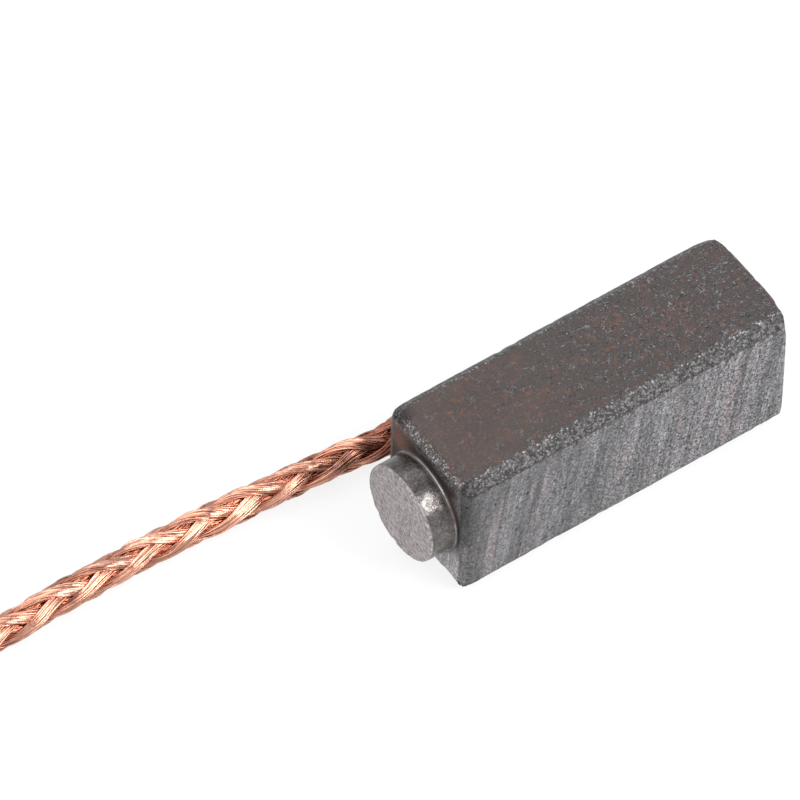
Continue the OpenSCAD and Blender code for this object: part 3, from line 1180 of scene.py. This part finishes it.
def build_powder(low, high, floor_radius, braid_radius):
    """The rammed powder: a tapered plug whose rough face dishes between the hole's edge
    and a low collar round the braid."""
    mouth_radius = (high.x - low.x) / 2 - HOLE_CLEARANCE
    taper = (mouth_radius - floor_radius) / (high.y - low.y)
    dish, collar_sink = 0.17 * MM, 0.03 * MM
    rim_y = high.y - dish
    plug = [(floor_radius * share, low.y) for share in (0.02, 0.5, 1)]
    plug += [(floor_radius + taper * (y - low.y), y) for y in np.linspace(low.y, rim_y, 12)[1:]]
    rim, inner = plug[-1][0], 0.9 * braid_radius
    face = []
    for share in np.linspace(0, 1, 22)[1:]:
        face.append((rim + (inner - rim) * share, rim_y + dish * step_up(share, 0.25, 1)))
    face += [(inner * share, high.y - collar_sink) for share in (0.6, 0.02)]
    rings = np.array([hole_ring(low, high, radius, y) for radius, y in plug + face])
    rough = rings[len(plug):].reshape(-1, 3)
    rough = 0.035 * value_noise(rough, 0.16 * MM, 61) + 0.03 * value_noise(rough, 0.4 * MM, 62)
    rings[len(plug):, :, 1] += (rough - 0.03).reshape(len(face), -1) * MM
    return closed_loft(rings)


# --------------------------------------------------------------- the stage


def add_camera(scene, stage):
    """A long lens that looks down on the brush from the spigot's side."""
    data = bpy.data.cameras.new("Camera")
    data.lens = stage.lens
    data.sensor_width = SENSOR_WIDTH
    data.clip_start = CLIP_START
    camera = bpy.data.objects.new("Camera", data)
    scene.collection.objects.link(camera)
    level = math.cos(stage.elevation)
    back = Vector((
        math.sin(stage.azimuth) * level,
        -math.cos(stage.azimuth) * level,
        math.sin(stage.elevation),
    ))
    turn = back.to_track_quat("Z", "Y").to_matrix() @ Matrix.Rotation(stage.roll, 3, "Z")
    place = Matrix.Translation(Vector(stage.aim) + back * stage.distance)
    camera.matrix_world = place @ turn.to_4x4()
    scene.camera = camera


def seen_directly(tree):
    """1 where a surface or the world is seen by the camera or in a reflection, else 0."""
    path = add_node(tree, "LightPath", {})
    total = path.outputs["Is Camera Ray"]
    for name in ("Is Glossy Ray", "Is Transmission Ray"):
        inputs = {0: total, 1: path.outputs[name]}
        total = add_node(tree, "Math", inputs, operation="ADD", use_clamp=True).outputs[0]
    return total


def floor_material():
    """A white floor that glows where it is seen, so that only a faint shadow stays."""
    material = bpy.data.materials.new("White floor")
    material.use_nodes = True
    tree = material.node_tree
    shader = tree.nodes["Principled BSDF"]
    feed(tree, shader.inputs["Base Color"], (FLOOR_BRIGHTNESS,) * 3)
    feed(tree, shader.inputs["Roughness"], FLOOR_ROUGHNESS)
    glow = add_node(tree, "Emission", {"Color": (1, 1, 1)})
    share = add_node(tree, "Math", {0: seen_directly(tree), 1: FLOOR_GLOW}, operation="MULTIPLY")
    inputs = {0: share.outputs[0], 1: shader.outputs[0], 2: glow.outputs[0]}
    mix = add_node(tree, "MixShader", inputs)
    feed(tree, tree.nodes["Material Output"].inputs["Surface"], mix.outputs[0])
    return material


def add_floor(size):
    """The square floor that the brush lies on."""
    half = size / 2
    corners = [(-half, -half, 0), (half, -half, 0), (half, half, 0), (-half, half, 0)]
    floor = new_object("floor", corners, [(0, 1, 2, 3)])
    floor.data.materials.append(floor_material())


def add_world(scene, ambient):
    """A white surround, dimmer as a light than as a background."""
    world = bpy.data.worlds.new("White surround")
    world.use_nodes = True
    tree = world.node_tree
    inputs = {"Value": seen_directly(tree), "To Min": ambient, "To Max": 1.0}
    strength = add_node(tree, "MapRange", inputs)
    background = tree.nodes["Background"]
    feed(tree, background.inputs["Color"], (1, 1, 1))
    feed(tree, background.inputs["Strength"], strength.outputs["Result"])
    scene.world = world


def add_softbox(scene, name, direction, distance, size, level):
    """A square area lamp. level is the light that it throws on a surface that faces it,
    where 1 shows a colour as it is written."""
    data = bpy.data.lights.new(name, "AREA")
    data.size = size
    data.energy = level * (math.pi * distance) ** 2
    lamp = bpy.data.objects.new(name, data)
    scene.collection.objects.link(lamp)
    away = Vector(direction).normalized()
    turn = away.to_track_quat("Z", "Y").to_matrix().to_4x4()
    lamp.matrix_world = Matrix.Translation(away * distance) @ turn


# --------------------------------------------------------------- operators


class BRUSH_OT_stage(bpy.types.Operator):
    """Sets up the camera, the soft lights and the pale floor"""

    bl_idname = "brush.stage"
    bl_label = "Stage"

    def execute(self, context):
        scene = context.scene
        stage = scene.brush_stage
        scene.view_settings.view_transform = "Standard"
        add_camera(scene, stage)
        add_floor(stage.floor_size)
        add_world(scene, stage.ambient)
        for name, (direction, distance, size, level) in SOFTBOXES.items():
            add_softbox(scene, name, direction, distance, size, level)
        return {"FINISHED"}


def add_plait(name, plait, part, material):
    """One stretch of the plait as a piece with its tones painted on. Nothing of it goes
    under the floor, and it is tarnished and in painted shade where it is near the hole."""
    vertices, faces, tone, depth = build_plait(plait, part)
    # Each vertex takes the mark of the nearest of every eighth point of the line.
    line, marks = plait.line[part][::8], plait.marks[part][::8]
    gaps = np.abs(vertices[:, None, :2] - line[None, :, :2]).sum(axis=2)
    mark = marks[np.argmin(gaps, axis=1)]
    vertices[:, 2] = np.maximum(vertices[:, 2], 0.0)
    patch = value_noise(vertices, 0.5 * MM, 81)
    # Tarnish and painted shade fade out a few millimetres from the mouth of the hole.
    clean = step_up(mark + 0.9 * MM * patch, 4.7 * MM, 6.5 * MM)
    piece = new_piece(name, vertices, faces, material)
    paint(piece, "wire", tone)
    paint(piece, "depth", depth)
    paint(piece, "tarnish_and_shade", 0.85 * (1 - clean))
    return piece


class BRUSH_OT_pigtail(bpy.types.Operator):
    """Plaits the copper braid: its rammed root, its free run and its dipped tip"""

    bl_idname = "brush.pigtail"
    bl_label = "Pigtail"

    def execute(self, context):
        braid = context.scene.brush_braid
        plait = Plait(braid)
        copper = copper_material(braid)
        root = add_plait("rammed_root", plait, plait.root, copper)
        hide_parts("pigtail_root")

        vertices, faces, bare = build_tip(plait)
        vertices[:, 2] = np.maximum(vertices[:, 2], 0.0)
        tip = new_piece("dipped_tip", vertices, faces, tin_material(braid))
        paint(tip, "bare", bare)
        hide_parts("tinned_tip")

        free = add_plait("braided_pigtail", plait, plait.free, copper)
        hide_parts("pigtail")
        return {"FINISHED"}


class BRUSH_OT_powder(bpy.types.Operator):
    """Rams the copper powder into the tamping hole"""

    bl_idname = "brush.powder"
    bl_label = "Powder"

    def execute(self, context):
        scene = context.scene
        braid = scene.brush_braid
        low, high = box_corners("tamped_powder")
        floor_radius = scene.brush_block.hole_floor / 2 - HOLE_CLEARANCE
        vertices, faces = build_powder(low, high, floor_radius, braid.diameter / 2)
        powder = powder_material(braid)
        piece = new_piece("rammed_powder", vertices, faces, powder)
        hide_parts("tamped_powder")
        return {"FINISHED"}


class BRUSH_OT_block(bpy.types.Operator):
    """Presses the copper-graphite block with its spigot and its tamping hole"""

    bl_idname = "brush.block"
    bl_label = "Block"

    def execute(self, context):
        block = context.scene.brush_block
        vertices, faces, masks = build_block(block, *box_corners("carbon_block"))
        graphite = graphite_material(block)
        piece = new_piece("pressed_block", vertices, faces, graphite)
        for name, values in masks.items():
            paint(piece, name, values)
        low, high = box_corners("tamped_powder")
        cut_hole(piece, low, high, (high.x - low.x) / 2, block.hole_floor / 2)
        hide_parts("carbon_block")
        return {"FINISHED"}


class BRUSH_PT_parts(bpy.types.Panel):
    """Lists the brush's parts and their sizes"""

    bl_idname = "BRUSH_PT_parts"
    bl_label = "Carbon Brush"
    bl_space_type = "VIEW_3D"
    bl_region_type = "UI"
    bl_category = "Carbon Brush"

    def draw(self, context):
        groups = (
            (context.scene.brush_stage, (BRUSH_OT_stage,)),
            (context.scene.brush_braid, (BRUSH_OT_pigtail, BRUSH_OT_powder)),
            (context.scene.brush_block, (BRUSH_OT_block,)),
        )
        for settings, operators in groups:
            box = self.layout.box()
            for name in settings.__annotations__:
                box.prop(settings, name)
            for operator in operators:
                box.operator(operator.bl_idname)


CLASSES = [
    BRUSH_PG_block,
    BRUSH_PG_braid,
    BRUSH_PG_stage,
    BRUSH_OT_stage,
    BRUSH_OT_pigtail,
    BRUSH_OT_powder,
    BRUSH_OT_block,
    BRUSH_PT_parts,
]


def register():
    for cls in CLASSES:
        bpy.utils.register_class(cls)
    bpy.types.Scene.brush_block = bpy.props.PointerProperty(type=BRUSH_PG_block)
    bpy.types.Scene.brush_braid = bpy.props.PointerProperty(type=BRUSH_PG_braid)
    bpy.types.Scene.brush_stage = bpy.props.PointerProperty(type=BRUSH_PG_stage)


def unregister():
    del bpy.types.Scene.brush_block
    del bpy.types.Scene.brush_braid
    del bpy.types.Scene.brush_stage
    for cls in reversed(CLASSES):
        bpy.utils.unregister_class(cls)


def main():
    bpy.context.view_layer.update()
    register()
    bpy.ops.brush.stage()
    bpy.ops.brush.pigtail()
    bpy.ops.brush.powder()
    bpy.ops.brush.block()


if __name__ == "__main__":
    main()
